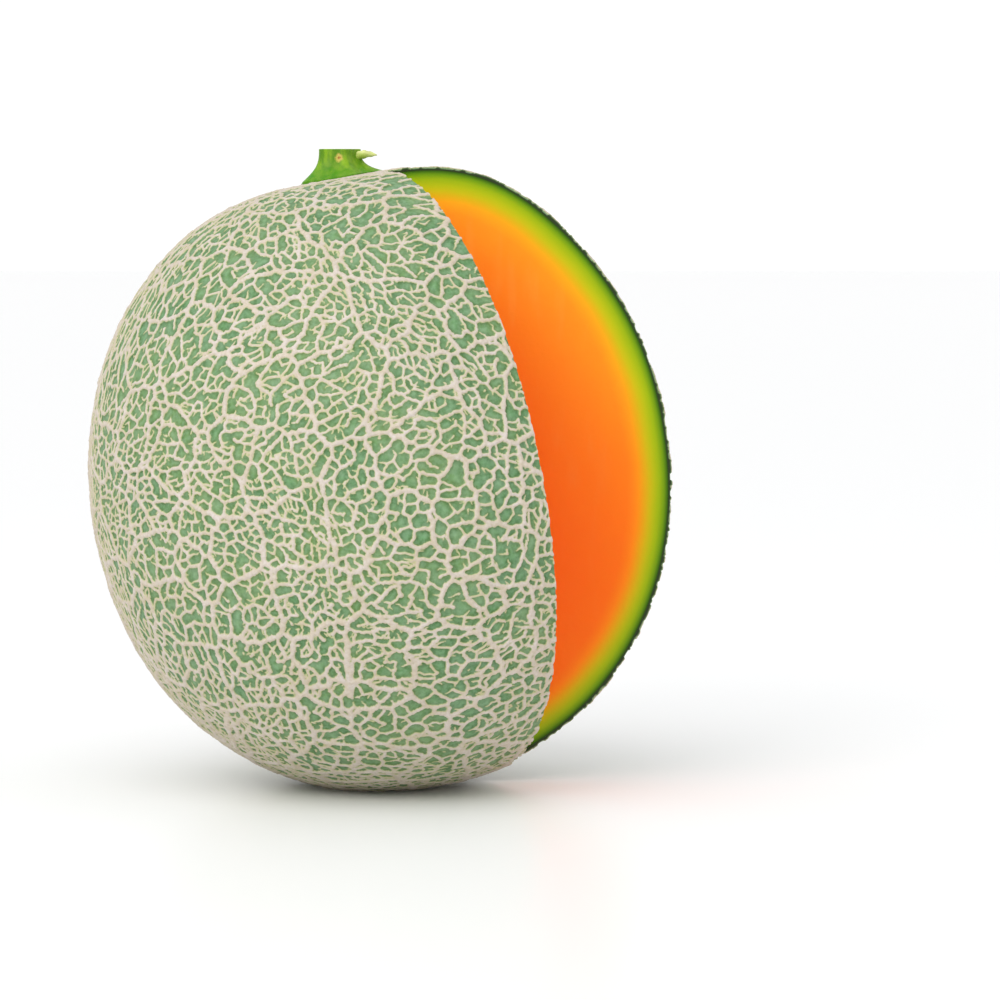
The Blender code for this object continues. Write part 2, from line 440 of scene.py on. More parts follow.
# %% [markdown]
# ## Main ridges, side ridges and spurs
#
# The first cracks open early and run far, and they heal widest. Later ones divide what is left, and the
# last are short and stop dead. Neighbouring cells are gathered into a few hundred large groups and those
# into smaller ones: a border between large groups is a main ridge, between small groups a side ridge, and
# inside a group it is a spur, which may be missing or stop half way.

# %% Which border becomes which ridge
MAIN_GROUPS = 300
SIDE_GROUPS = 2000
GROUP_JITTER = 0.45
MISSING_SIDE = 0.07  # the share of side ridges that never formed
MISSING_THIN = 0.10
rng = np.random.default_rng(NET_SEED + 2)


def group_of(directions, count, seed):
    centres = scattered(count, GROUP_JITTER, seed)
    return np.argmax(directions @ centres.T, axis=1)


main_group = group_of(cells, MAIN_GROUPS, NET_SEED + 3)
side_group = group_of(cells, SIDE_GROUPS, NET_SEED + 4)
cell_a, cell_b = borders[:, 2], borders[:, 3]
luck = rng.uniform(size=len(borders))
is_main = main_group[cell_a] != main_group[cell_b]
is_side = ~is_main & (side_group[cell_a] != side_group[cell_b]) & (luck > MISSING_SIDE)
is_thin = ~is_main & ~is_side & (luck > MISSING_THIN)
print("main:", is_main.sum(), "side:", is_side.sum(), "thin:", is_thin.sum())

# %% Pull the main ridges straight
STRAIGHTENING = 5


def pull_straight(corners, lines, times):
    """Moves each corner on these lines half way to the middle of its neighbours along them."""
    for _ in range(times):
        count = np.bincount(lines.ravel(), minlength=len(corners))
        total = np.zeros_like(corners)
        for axis in range(3):
            total[:, axis] = np.bincount(lines[:, 0], corners[lines[:, 1], axis], len(corners))
            total[:, axis] += np.bincount(lines[:, 1], corners[lines[:, 0], axis], len(corners))
        moved = count >= 2
        corners = corners.copy()
        corners[moved] = unit(corners[moved] + total[moved] / count[moved, None])
    return corners


corners = pull_straight(corners, borders[is_main, :2], STRAIGHTENING)
corners = pull_straight(corners, borders[is_main | is_side, :2], 1)
print("straightened", is_main.sum(), "borders")

# %% Lines with a width and a rise
LINE_STEPS = 4
WIGGLE = 0.055  # of the line's length
SKIN_SINK = 0.36 * MM  # the green skin lies this far under the shape's law, and the ridges stand above it
WIDER_BELOW = 0.30  # of the width, at the lowest point
END_SWELL = 0.28  # of the width, where ridges meet
# The least and the most of half a ridge's width and of its rise, in mm
MAIN_HALF, MAIN_RISE = (0.42, 0.66), (0.46, 0.58)
SIDE_HALF, SIDE_RISE = (0.30, 0.45), (0.36, 0.48)
share = np.linspace(0, 1, LINE_STEPS + 1)
at_ends = np.abs(2 * share - 1) ** 2.5  # 1 at a corner, 0 half way


def wavy_lines(starts, ends, seed):
    """Each line as a row of directions, pushed sideways a little between its ends."""
    rng = np.random.default_rng(seed)
    rows = starts[:, None] * (1 - share[:, None]) + ends[:, None] * share[:, None]
    length = np.linalg.norm(ends - starts, axis=-1)
    sideways = unit(np.cross(starts, ends - starts))
    push = rng.normal(size=(len(starts), LINE_STEPS + 1)) * WIGGLE * length[:, None]
    push[:, (0, -1)] = 0
    return unit(rows + sideways[:, None] * push[..., None])


def ridge_lines(name, rows, half_widths, rises):
    """A mesh of loose lines on the skin. Each point holds half the ridge's width and its rise, in mm."""
    directions = rows.reshape(-1, 3)
    points = CENTRE + directions * (skin_distance(directions) - SKIN_SINK)[:, None]
    first = np.arange(len(directions)).reshape(rows.shape[:2])[:, :-1].ravel()
    mesh = bpy.data.meshes.new(name)
    mesh.vertices.add(len(points))
    mesh.vertices.foreach_set("co", points.ravel())
    mesh.edges.add(len(first))
    mesh.edges.foreach_set("vertices", np.stack((first, first + 1), -1).ravel())
    obj = placed(name, mesh)
    lowness = np.clip(-directions[:, 2], 0, 1)
    add_values(obj, "half_width", half_widths.ravel() * (1 + WIDER_BELOW * lowness))
    add_values(obj, "rise", rises.ravel())
    print(name, "has", len(rows), "lines")
    return obj


def full_ridges(name, chosen, half_range, rise_range, seed):
    rng = np.random.default_rng(seed)
    rows = wavy_lines(corners[borders[chosen, 0]], corners[borders[chosen, 1]], seed)
    half = rng.uniform(*half_range, len(rows))[:, None] * (1 + END_SWELL * at_ends)
    rise = rng.uniform(*rise_range, len(rows))[:, None] * np.ones_like(share)
    return ridge_lines(name, rows, half, rise)


main_ridges = full_ridges("net_main_lines", is_main, MAIN_HALF, MAIN_RISE, NET_SEED + 5)
side_ridges = full_ridges("net_side_lines", is_side, SIDE_HALF, SIDE_RISE, NET_SEED + 6)

# %% Spurs
SPUR_TIP = 0.10  # half width in mm at a dead end
DEAD_END_SHARE = 0.35
EXTRA_SPURS = 0.50  # of the cells have one more spur, from a border towards the middle
THIN_HALF, EXTRA_HALF = (0.22, 0.34), (0.18, 0.28)
THIN_SWELL = 0.25
SPUR_LOW, SPUR_RISE = 0.20, 0.40  # the rise in mm at no width, and what each mm of half width adds
thin = borders[is_thin]
rng = np.random.default_rng(NET_SEED + 7)
starts, ends = corners[thin[:, 0]], corners[thin[:, 1]]
dead = rng.uniform(size=len(thin)) < DEAD_END_SHARE
reach = np.where(dead, rng.uniform(0.45, 0.8, len(thin)), 1.0)[:, None]
ends = unit(starts * (1 - reach) + ends * reach)
half = rng.uniform(*THIN_HALF, len(thin))[:, None] * (1 + THIN_SWELL * at_ends)
half = np.where(dead[:, None], half * (1 - share) + SPUR_TIP * share, half)

picked = rng.choice(len(borders), int(EXTRA_SPURS * CELL_COUNT), replace=False)
side = rng.uniform(0.25, 0.75, len(picked))[:, None]
roots = unit(corners[borders[picked, 0]] * side + corners[borders[picked, 1]] * (1 - side))
inward = rng.uniform(0.45, 0.85, len(picked))[:, None]
tips = unit(roots * (1 - inward) + cells[borders[picked, 2]] * inward)
extra_half = rng.uniform(*EXTRA_HALF, len(picked))[:, None] * (1 - share) + SPUR_TIP * share

spur_rows = np.concatenate(
    (wavy_lines(starts, ends, NET_SEED + 8), wavy_lines(roots, tips, NET_SEED + 9))
)
spur_half = np.concatenate((half, extra_half))
spurs = ridge_lines("net_spur_lines", spur_rows, spur_half, SPUR_LOW + SPUR_RISE * spur_half)

# %% [markdown]
# ## The skin
#
# The skin is one fine triangle mesh, made by dividing a twenty-sided ball again and again and pushing each
# point out to the law of the shape. It must be fine, because the narrowest ridge is half a millimetre wide.
# Where the wedge is missing the triangles are dropped, and the points along the edge slide onto the cut.

# %% A fine ball
SKIN_DIVISIONS = 8
FLESH_DIVISIONS = 5


def divided_ball(times):
    """Directions and triangles of an icosahedron whose triangles are divided in four this many times."""
    start = bmesh.new()
    bmesh.ops.create_icosphere(start, subdivisions=1, radius=1)
    directions = unit(np.array([vertex.co for vertex in start.verts]))
    triangles = np.array([[vertex.index for vertex in face.verts] for face in start.faces])
    start.free()
    for _ in range(times):
        pairs = np.concatenate([triangles[:, (a, (a + 1) % 3)] for a in range(3)])
        pairs.sort(axis=1)
        code = pairs[:, 0] * len(directions) + pairs[:, 1]
        found, place = np.unique(code, return_inverse=True)
        middles = unit(directions[found // len(directions)] + directions[found % len(directions)])
        ab, bc, ca = len(directions) + place.reshape(3, -1)
        a, b, c = triangles.T
        triangles = np.concatenate(
            [np.stack(row, -1) for row in ((a, ab, ca), (b, bc, ab), (c, ca, bc), (ab, bc, ca))]
        )
        directions = np.concatenate((directions, middles))
    return directions, triangles


ball, ball_triangles = divided_ball(SKIN_DIVISIONS)
print("the fine ball has", len(ball_triangles), "triangles")

# %% Cut the wedge out of the skin
SNAP = 0.13 * MM  # points this near a cut slide onto it


def onto_cuts(points, which):
    """Moves the chosen points onto the cut they are nearest to, along that cut's normal."""
    near, far = past_cuts(points[which])
    to_near = (np.abs(near) <= np.abs(far))[:, None]
    points[which] -= np.where(to_near, near[:, None] * NEAR_CUT_NORMAL, far[:, None] * FAR_CUT_NORMAL)


def kept_only(points, triangles, *others):
    """Drops the points that no triangle uses."""
    used, place = np.unique(triangles, return_inverse=True)
    return points[used], place.reshape(-1, 3), *(other[used] for other in others)


skin = CENTRE + ball * (skin_distance(ball) - SKIN_SINK)[:, None]
past = np.minimum(*past_cuts(skin))
at_cut = np.abs(past) < SNAP
state = np.where(at_cut, 0, np.sign(past))
skin_triangles = ball_triangles[(state[ball_triangles] < 0).any(axis=1)]
skin, skin_triangles, state = kept_only(skin, skin_triangles, state)
on_cut = state >= 0
for _ in range(3):
    onto_cuts(skin, on_cut)
    directions = unit(skin[on_cut] - CENTRE)
    skin[on_cut] = CENTRE + directions * (skin_distance(directions) - SKIN_SINK)[:, None]
onto_cuts(skin, on_cut)
skin[:, 2] = np.maximum(skin[:, 2], 0)
print("skin triangles:", len(skin_triangles), "points on the cuts:", on_cut.sum())

# %% [markdown]
# ## Raise the net with Geometry Nodes
#
# Each ridge follows a rule: full height on its line, falling to the skin at half its width. So one node
# tree raises all of them. For every point of the skin it finds the nearest line of each kind, reads that
# line's width and rise, and pushes the point out. Where ridges meet, a smooth smallest distance fills the
# corner with a web, as cork does. The tree also leaves each point's distance to the nearest ridge edge
# behind as an attribute, and the colours are read from that later.

# %% The relief tree
relief_tree = new_shape_tree(
    "net relief",
    [
        ("Main Ridges", "NodeSocketObject"),
        ("Side Ridges", "NodeSocketObject"),
        ("Spurs", "NodeSocketObject"),
        ("Shoulder", "NodeSocketFloat"),
        ("Web", "NodeSocketFloat"),
        ("Crown", "NodeSocketFloat"),
        ("Cork Grain", "NodeSocketFloat"),
        ("Skin Unevenness", "NodeSocketFloat"),
        ("Material", "NodeSocketMaterial"),
    ],
)
relief_in = add_node(relief_tree, "NodeGroupInput").outputs


def nearest_ridge(kind):
    """How far each point is past the nearest ridge's edge, and that ridge's height there."""
    tree = relief_tree
    lines = add_node(tree, "GeometryNodeObjectInfo", {"Object": relief_in[kind]}).outputs["Geometry"]
    found = add_node(tree, "GeometryNodeProximity", {0: lines}, target_element="EDGES")
    distance = calculate(tree, "MULTIPLY", found.outputs["Distance"], 1 / MM)
    index = add_node(
        tree,
        "GeometryNodeSampleNearest",
        {"Geometry": lines, "Sample Position": found.outputs["Position"]},
        domain="POINT",
    ).outputs["Index"]
    values = []
    for name in ("half_width", "rise"):
        read = add_node(tree, "GeometryNodeInputNamedAttribute", {"Name": name}, data_type="FLOAT")
        sample = add_node(
            tree,
            "GeometryNodeSampleIndex",
            {"Geometry": lines, "Value": read.outputs["Attribute"], "Index": index},
            data_type="FLOAT",
            domain="POINT",
        )
        values.append(sample.outputs["Value"])
    edge = calculate(tree, "SUBTRACT", distance, values[0])
    slope = add_node(
        tree,
        "ShaderNodeMapRange",
        {
            "Value": edge,
            "From Min": calculate(tree, "MULTIPLY", relief_in["Shoulder"], -1),
            "From Max": relief_in["Shoulder"],
            "To Min": 1.0,
            "To Max": 0.0,
        },
        interpolation_type="SMOOTHSTEP",
    ).outputs["Result"]
    inside = calculate(tree, "MAXIMUM", calculate(tree, "MULTIPLY", edge, -1), 0.0)
    crown = calculate(tree, "MULTIPLY", inside, relief_in["Crown"])
    height = calculate(tree, "MULTIPLY", slope, calculate(tree, "ADD", values[1], crown))
    return edge, height


JOIN_SOFTNESS = 0.08  # mm
edges_and_heights = [nearest_ridge(kind) for kind in ("Main Ridges", "Side Ridges", "Spurs")]
net_edge, net_height = edges_and_heights[0]
for edge, height in edges_and_heights[1:]:
    net_edge = calculate(relief_tree, "SMOOTH_MIN", net_edge, edge, relief_in["Web"])
    net_height = calculate(relief_tree, "SMOOTH_MAX", net_height, height, JOIN_SOFTNESS)
print("relief nodes:", len(relief_tree.nodes))

# %% Grain on the cork and gentle swells under it
GRAIN_SCALE = 900.0
SWELL_SCALE = 60.0
WEB_RISE = 0.22  # mm
web_height = add_node(
    relief_tree,
    "ShaderNodeMapRange",
    {"Value": net_edge, "From Min": -0.1, "From Max": 0.2, "To Min": WEB_RISE, "To Max": 0.0},
    interpolation_type="SMOOTHSTEP",
).outputs["Result"]
net_height = calculate(relief_tree, "MAXIMUM", net_height, web_height)


def relief_noise(scale, detail, amount):
    """Noise about zero, times this amount."""
    bumps = add_node(relief_tree, "ShaderNodeTexNoise", {"Scale": scale, "Detail": detail}).outputs[0]
    return calculate(relief_tree, "MULTIPLY", calculate(relief_tree, "SUBTRACT", bumps, 0.5), amount)


grain_height = relief_noise(
    GRAIN_SCALE, 2.0, calculate(relief_tree, "MULTIPLY", net_height, relief_in["Cork Grain"])
)
full_height = calculate(relief_tree, "ADD", net_height, grain_height)
full_height = calculate(
    relief_tree, "ADD", full_height, relief_noise(SWELL_SCALE, 1.0, relief_in["Skin Unevenness"])
)
push = add_node(
    relief_tree,
    "ShaderNodeVectorMath",
    {
        0: add_node(relief_tree, "GeometryNodeInputNormal").outputs[0],
        "Scale": calculate(relief_tree, "MULTIPLY", full_height, MM),
    },
    operation="SCALE",
).outputs[0]
raised = relief_in["Geometry"]
for name, value in (("net_edge", net_edge), ("net_height", net_height)):
    raised = add_node(
        relief_tree,
        "GeometryNodeStoreNamedAttribute",
        {"Geometry": raised, "Name": name, "Value": value},
        data_type="FLOAT",
        domain="POINT",
    ).outputs["Geometry"]
raised = add_node(relief_tree, "GeometryNodeSetPosition", {"Geometry": raised, "Offset": push}).outputs[0]
finish_shape_tree(relief_tree, raised)
print("the relief tree is complete with", len(relief_tree.nodes), "nodes")

# %% Raise the net
skin_material = bpy.data.materials.new("netted skin")
skin_object = triangle_object("whole_skin", skin, skin_triangles)
skin_object.data.shade_smooth()
shape_with(
    skin_object,
    relief_tree,
    {
        "Main Ridges": main_ridges,
        "Side Ridges": side_ridges,
        "Spurs": spurs,
        "Shoulder": 0.17,
        "Web": 0.20,
        "Crown": 0.15,
        "Cork Grain": 0.5,
        "Skin Unevenness": 0.35,
        "Material": skin_material,
    },
)
skin_object = baked(skin_object)
for lines in (main_ridges, side_ridges, spurs):
    bpy.data.objects.remove(lines)
skin = points_of(skin_object.data)
net_edge_values = values_of(skin_object.data, "net_edge")
net_height_values = values_of(skin_object.data, "net_height")
bpy.data.objects.remove(skin_object)
onto_cuts(skin, on_cut)
skin[:, 2] = np.maximum(skin[:, 2], 0)
skin_normals = vertex_normals(skin, skin_triangles)
highest, covered = float(net_height_values.max()), float((net_edge_values < 0).mean())
print("ridges rise", round(highest, 2), "mm and cover", round(covered, 2), "of the skin")

# %% [markdown]
# ## Divide the skin into panels
#
# So fine a mesh is over a million triangles, which is too many for one object to handle well. It is divided
# from stalk to flower end into panels of equal size, like the segments of an orange. Each is closed behind
# by a thin wall and a plain back, so it is a real solid. The normals are kept from the whole skin, so no
# line shows where two panels meet. Each panel is also laid flat for its texture, top to bottom.

# %% Panels
PANEL_COUNT = 8
PANEL_DEPTH = 0.45 * MM
BACK_SPACING = 5.0 * MM
WEDGE_MIDDLE = math.radians(61)  # the panels are counted from here, where no skin is
BACK_STRIP = 0.03  # of the texture's width holds the back and the walls
STRIP_GAP = 0.01
FAR_FROM_RIDGE = 3.0  # mm, what the walls and the back say of their distance to the net
RADIUS = 75 * MM


def flat_places(points, middle):
    """Lays points near the heading `middle` flat, with their distances kept along each level."""
    height, _, heading = core_places(points)
    reach = np.linalg.norm(points - CENTRE, axis=-1)
    rise = np.arcsin(np.clip(height / reach, -1, 1))
    turn = (heading - middle + math.pi) % math.tau - math.pi
    return np.stack((turn * np.cos(rise), rise), -1) * RADIUS


def from_flat(places, middle, depth):
    rise = places[:, 1] / RADIUS
    turn = places[:, 0] / RADIUS / np.maximum(np.cos(rise), 1e-3) + middle
    directions = CORE * np.sin(rise)[:, None] + outward(turn) * np.cos(rise)[:, None]
    return CENTRE + directions * (skin_distance(directions) - SKIN_SINK - depth)[:, None]


def border_loops(triangles):
    """The mesh's open borders, each as a list of points in order."""
    pairs = np.concatenate([triangles[:, (a, (a + 1) % 3)] for a in range(3)])
    size = int(triangles.max()) + 1
    code = pairs[:, 0] * size + pairs[:, 1]
    back = pairs[:, 1] * size + pairs[:, 0]
    open_pairs = pairs[~np.isin(code, back)]
    follows = {}
    for a, b in open_pairs.tolist():
        follows.setdefault(a, []).append(b)
    loops = []
    while follows:
        start = next(iter(follows))
        loop = [start]
        while True:
            options = follows[loop[-1]]
            step = options.pop()
            if not options:
                del follows[loop[-1]]
            if step == start:
                break
            loop.append(step)
        loops.append(loop)
    return loops


centres = skin[skin_triangles].mean(axis=1)
turn_from_wedge = (core_places(centres)[2] - WEDGE_MIDDLE) % math.tau
order = np.argsort(turn_from_wedge)
panels = np.array_split(order, PANEL_COUNT)
print("each panel has", len(panels[0]), "triangles")

# %% Close each panel and make its object


def panel_object(name, chosen):
    used, triangles = np.unique(skin_triangles[chosen], return_inverse=True)
    triangles = triangles.reshape(-1, 3)
    points = skin[used]
    middle_point = points[triangles].mean(axis=(0, 1))
    middle = float(core_places(middle_point[None])[2][0])
    front_places = flat_places(points, middle)
    loops = sorted(border_loops(triangles), key=len)
    rim = np.concatenate([np.array(loop) for loop in loops])
    directions = unit(points[rim] - CENTRE)
    back_rim = CENTRE + directions * (skin_distance(directions) - SKIN_SINK - PANEL_DEPTH)[:, None]
    back_rim[:, 2] = np.maximum(back_rim[:, 2], PANEL_DEPTH)
    cut_rim = on_cut[used][rim]
    onto_cuts(back_rim, cut_rim)
    rim_places = flat_places(back_rim, middle)
    low, high = rim_places.min(axis=0), rim_places.max(axis=0)
    across, up = np.meshgrid(
        np.arange(low[0], high[0], BACK_SPACING), np.arange(low[1], high[1], BACK_SPACING)
    )
    grid = np.stack((across.ravel(), up.ravel()), -1)
    apart = [np.min(np.hypot(*(rim_places - place).T)) > BACK_SPACING / 3 for place in grid]
    grid = grid[apart]
    sides = []
    start = 0
    for loop in loops:
        count = len(loop)
        sides += [(start + step, start + (step + 1) % count) for step in range(count)]
        start += count
    flat = [Vector(place) for place in np.concatenate((rim_places, grid)) * 1000]
    made, _, faces, origin, _, _ = geometry.delaunay_2d_cdt(flat, sides, [], 1, 1e-5)
    made = np.array(made) / 1000
    back = from_flat(made, middle, PANEL_DEPTH)
    back[:, 2] = np.maximum(back[:, 2], PANEL_DEPTH)
    place_of = np.full(len(made), -1)
    for row, sources in enumerate(origin):
        ring = [source for source in sources if source < len(rim)]
        if ring:
            place_of[row] = ring[0]
    new_rows = np.flatnonzero(place_of < 0)
    place_of[new_rows] = len(rim) + np.arange(len(new_rows))
    count = len(points)
    back_faces = [[count + int(place_of[corner]) for corner in face] for face in faces]
    fans = [(face[0], face[b + 1], face[b]) for face in back_faces for b in range(1, len(face) - 1)]
    back_triangles = np.array(fans)
    front_side = np.array(sides)
    outer_a, outer_b = rim[front_side[:, 0]], rim[front_side[:, 1]]
    inner_a, inner_b = count + front_side[:, 0], count + front_side[:, 1]
    walls = np.concatenate(
        (np.stack((outer_b, outer_a, inner_a), -1), np.stack((outer_b, inner_a, inner_b), -1))
    )
    all_points = np.concatenate((points, back_rim, back[new_rows]))
    all_triangles = np.concatenate((triangles, walls, back_triangles))
    obj = triangle_object(name, all_points, all_triangles)
    fill = len(all_points) - count
    add_values(obj, "rind_wall", np.concatenate((np.zeros(count), np.ones(fill))))
    add_values(obj, "net_edge", np.concatenate((net_edge_values[used], np.full(fill, FAR_FROM_RIDGE))))
    add_values(obj, "net_height", np.concatenate((net_height_values[used], np.zeros(fill))))

    flat_all = flat_places(all_points, middle)
    flat_low, flat_high = front_places.min(axis=0), front_places.max(axis=0)
    spread = (flat_all - flat_low) / (flat_high - flat_low)
    uv = spread[all_triangles]
    front_count = len(triangles)
    front_start = BACK_STRIP + STRIP_GAP
    uv[:front_count, :, 0] = front_start + uv[:front_count, :, 0] * (1 - STRIP_GAP - front_start)
    uv[front_count:, :, 0] *= BACK_STRIP
    layer = obj.data.uv_layers.new(name="OFBake")
    layer.data.foreach_set("uv", np.clip(uv, 0.001, 0.999).astype(np.float32).ravel())

    obj.data.shade_smooth()
    normals = np.empty((len(all_triangles), 3, 3))
    normals[:front_count] = skin_normals[used][triangles]
    rest = all_points[all_triangles[front_count:]]
    facing = np.cross(rest[:, 1] - rest[:, 0], rest[:, 2] - rest[:, 0]) + 1e-20
    normals[front_count:] = unit(facing)[:, None]
    obj.data.normals_split_custom_set(normals.reshape(-1, 3))
    obj.data.materials.append(skin_material)
    return obj


rind = []
for number, chosen in enumerate(panels, start=1):
    panel = panel_object(f"rind_panel_{number}", chosen)
    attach(panel, "root")
    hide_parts("melon_body")
    rind.append(panel)
print("the rind has", sum(len(panel.data.polygons) for panel in rind), "triangles")

# %% [markdown]
# ## The flesh
#
# Under the skin a melon is one solid piece of flesh round a hollow. It is made as the cook makes it: a
# whole ball, a hollow taken out of the middle and a wedge cut away. The knife is a mesh with its own fine
# waves, because a real cut is never a perfect plane, and the shallow waves are what the light catches.

# %% The knife
CUT_STEP = 1.5 * MM
CUT_REACH = 112 * MM
CUT_EXTRA = 14 * MM
CUT_RIPPLE = 0.07 * MM
FACE_RECESS = 0.03 * MM  # the flesh lies this far behind the edge of the skin


def cut_sheet(heading, normal):
    """Points of one cut face, upwards along the line where the cuts meet and outwards from it."""
    length = np.linalg.norm(CUT_LINE_TOP - CUT_LINE_FOOT)
    up = np.arange(-CUT_EXTRA, length + CUT_EXTRA, CUT_STEP)[:, None]
    out = np.arange(0, CUT_REACH, CUT_STEP)[None, :]
    sheet = CUT_LINE_FOOT + up[..., None] * CUT_LINE + out[..., None] * heading_vector(heading)
    waves = np.sin(up * 150 + out * 70 + heading * 9) + 0.6 * np.sin(up * 70 - out * 210 + 2)
    waves = waves + 0.35 * np.sin(up * 420 + out * 330)
    fade = np.clip(depth_below_skin(sheet) / (4 * MM), 0, 1) * np.clip(out / (6 * MM), 0, 1)
    shift = CUT_RIPPLE * waves * fade - FACE_RECESS * np.clip(out / MM, 0, 1)
    return sheet + shift[..., None] * normal


def turned_outward(obj):
    edit = bmesh.new()
    edit.from_mesh(obj.data)
    bmesh.ops.recalc_face_normals(edit, faces=edit.faces)
    edit.to_mesh(obj.data)
    edit.free()
    return obj


def make_knife():
    near = cut_sheet(NEAR_CUT_HEADING, NEAR_CUT_NORMAL)
    far = cut_sheet(FAR_CUT_HEADING, FAR_CUT_NORMAL)
    rows, columns, _ = near.shape
    points = np.concatenate((near.reshape(-1, 3), far[:, 1:].reshape(-1, 3)))
    near_at = np.arange(rows * columns).reshape(rows, columns)
    far_rest = rows * columns + np.arange(rows * (columns - 1)).reshape(rows, columns - 1)
    far_at = np.concatenate((near_at[:, :1], far_rest), axis=1)
    faces = []
    for sheet in (near_at, far_at):
        quads = np.stack((sheet[:-1, :-1], sheet[:-1, 1:], sheet[1:, 1:], sheet[1:, :-1]), -1)
        faces += quads.reshape(-1, 4).tolist()
    for row in range(rows - 1):
        faces.append([near_at[row, -1], near_at[row + 1, -1], far_at[row + 1, -1], far_at[row, -1]])
    for row in (0, -1):
        faces.append(list(near_at[row, ::-1]) + list(far_at[row, 1:]))
    return turned_outward(new_object("knife", points, faces))


def take_away(obj, *cutters):
    for cutter in cutters:
        modifier = obj.modifiers.new("cut", "BOOLEAN")
        modifier.object = cutter
        modifier.operation = "DIFFERENCE"
        modifier.solver = "EXACT"


def tube_of_rings(name, rings):
    """A closed skin over rings of points, with a single face at each end."""
    rings = np.asarray(rings)
    rows, columns, _ = rings.shape
    at = np.arange(rows * columns).reshape(rows, columns)
    ahead = np.roll(at, -1, axis=1)
    quads = np.stack((at[:-1], ahead[:-1], ahead[1:], at[1:]), -1).reshape(-1, 4)
    return turned_outward(new_object(name, rings.reshape(-1, 3), [*quads, at[0, ::-1], at[-1]]))


knife = make_knife()
print("the knife has", len(knife.data.polygons), "faces")

# %% The hollow
HOLLOW_ROWS = 72
HOLLOW_COLUMNS = 120
STRAND_COUNT = 5
FIRST_STRAND = math.radians(33)
STRAND_HEADINGS = [FIRST_STRAND + math.tau * strand / STRAND_COUNT for strand in range(STRAND_COUNT)]
HOLLOW_RIBS = 0.7  # mm, how much the wall swells between the strands
HOLLOW_BUMPS, HOLLOW_FINE_BUMPS = 0.35, 0.16  # mm
POLE_GAP = 0.494  # of a half turn, so the end rings keep a width
angles = np.linspace(0, math.tau, HOLLOW_COLUMNS, endpoint=False)
lift = np.sin(np.linspace(-POLE_GAP * math.pi, POLE_GAP * math.pi, HOLLOW_ROWS))
between = -HOLLOW_RIBS * np.cos(STRAND_COUNT * (angles - FIRST_STRAND))
hollow_rings = []
for height in lift * CAVITY_HALF_LENGTH:
    ring_directions = outward(angles) + CORE * height / CAVITY_HALF_LENGTH
    bumps = smooth_push(unit(ring_directions), 16, 61)[:, 0] * HOLLOW_BUMPS
    bumps = bumps + smooth_push(ring_directions, 34, 62)[:, 0] * HOLLOW_FINE_BUMPS
    wall = cavity_distance(height)
    wall = wall + (bumps + between) * MM * min(1.0, wall / (8 * MM))
    hollow_rings.append(inside_points(np.full(len(angles), height), wall, angles))
hollow = tube_of_rings("hollow", hollow_rings)
print("the hollow has", len(hollow.data.polygons), "faces")

# %% Cut the flesh
FLESH_INSET = 0.30 * MM
flesh_ball, flesh_triangles = divided_ball(FLESH_DIVISIONS)
flesh_points = CENTRE + flesh_ball * (skin_distance(flesh_ball) - SKIN_SINK - FLESH_INSET)[:, None]
flesh_points[:, 2] = np.maximum(flesh_points[:, 2], FLESH_INSET)
flesh = triangle_object("flesh", flesh_points, flesh_triangles)
take_away(flesh, knife, hollow)
flesh = baked(flesh)
flesh_points = points_of(flesh.data)
add_values(flesh, "skin_depth", depth_below_skin(flesh_points) / MM)
flesh_height, flesh_distance, _ = core_places(flesh_points)
hollow_share = np.hypot(flesh_height / CAVITY_HALF_LENGTH, flesh_distance / CAVITY_RADIUS)
add_values(flesh, "hollow_depth", (hollow_share - 1) * CAVITY_RADIUS / MM)
flesh.data.shade_smooth()
flesh.data.set_sharp_from_angle(angle=math.radians(38))
print("the flesh has", len(flesh.data.polygons), "faces")

# %% [markdown]
# ## Pulp and seeds
#
# Five soft strands of pulp hang on the wall of the hollow, and the seeds stand in rows on them with their
# points towards the middle. A strand is a row of rings from end to end, bulging and ragged. The seeds
# repeat hundreds of times, so one small seed is placed by Geometry Nodes at points that hold its direction.

# %% Strands of pulp
STRAND_HALF_ANGLE = math.radians(29)
STRAND_HALF_LENGTH = 36 * MM
STRAND_THICKNESS = 6.2 * MM
STRAND_EDGE = 1.2 * MM
STRAND_ROWS = 80
STRAND_SIDES = 26
GROOVE_DEPTH = 1.5  # mm, along the middle of each strand
GROOVE_WIDTH = 0.16  # of half the strand's width
INTO_WALL = 0.9 * MM


def strand_depth(height, side):
    share = (1 - (height / STRAND_HALF_LENGTH) ** 2) * (1 - side**2)
    edge = STRAND_EDGE * np.clip(share * 6, 0, 1) ** 0.5
    return edge + (STRAND_THICKNESS - STRAND_EDGE) * np.clip(share, 0, 1) ** 0.6


def strand_rings(strand, heading):
    sides = np.linspace(-1, 1, STRAND_SIDES)
    rings = []
    for height in STRAND_HALF_LENGTH * np.sin(np.linspace(-0.48, 0.48, STRAND_ROWS) * math.pi):
        narrow = (1 - (height / STRAND_HALF_LENGTH) ** 2) ** 0.35
        turns = heading + sides * STRAND_HALF_ANGLE * narrow
        level = np.full_like(sides, height / STRAND_HALF_LENGTH * 2)
        places = np.stack((sides * 1.3, level, np.full_like(sides, strand)), -1)
        ragged = smooth_push(places, 5, 71)[:, 0] * 0.55 + smooth_push(places, 13, 72)[:, 0] * 0.38
        groove = GROOVE_DEPTH * np.exp(-((sides / GROOVE_WIDTH) ** 2))
        depth = strand_depth(height, sides)
        depth = depth + (ragged - groove) * MM * np.clip(depth / (4 * MM), 0, 1)
        wall = np.full_like(sides, cavity_distance(height))
        inner = inside_points(np.full_like(sides, height), wall - depth, turns)
        outer = inside_points(np.full_like(sides, height), wall + INTO_WALL, turns)
        rings.append(np.concatenate((inner, outer[::-1])))
    return rings


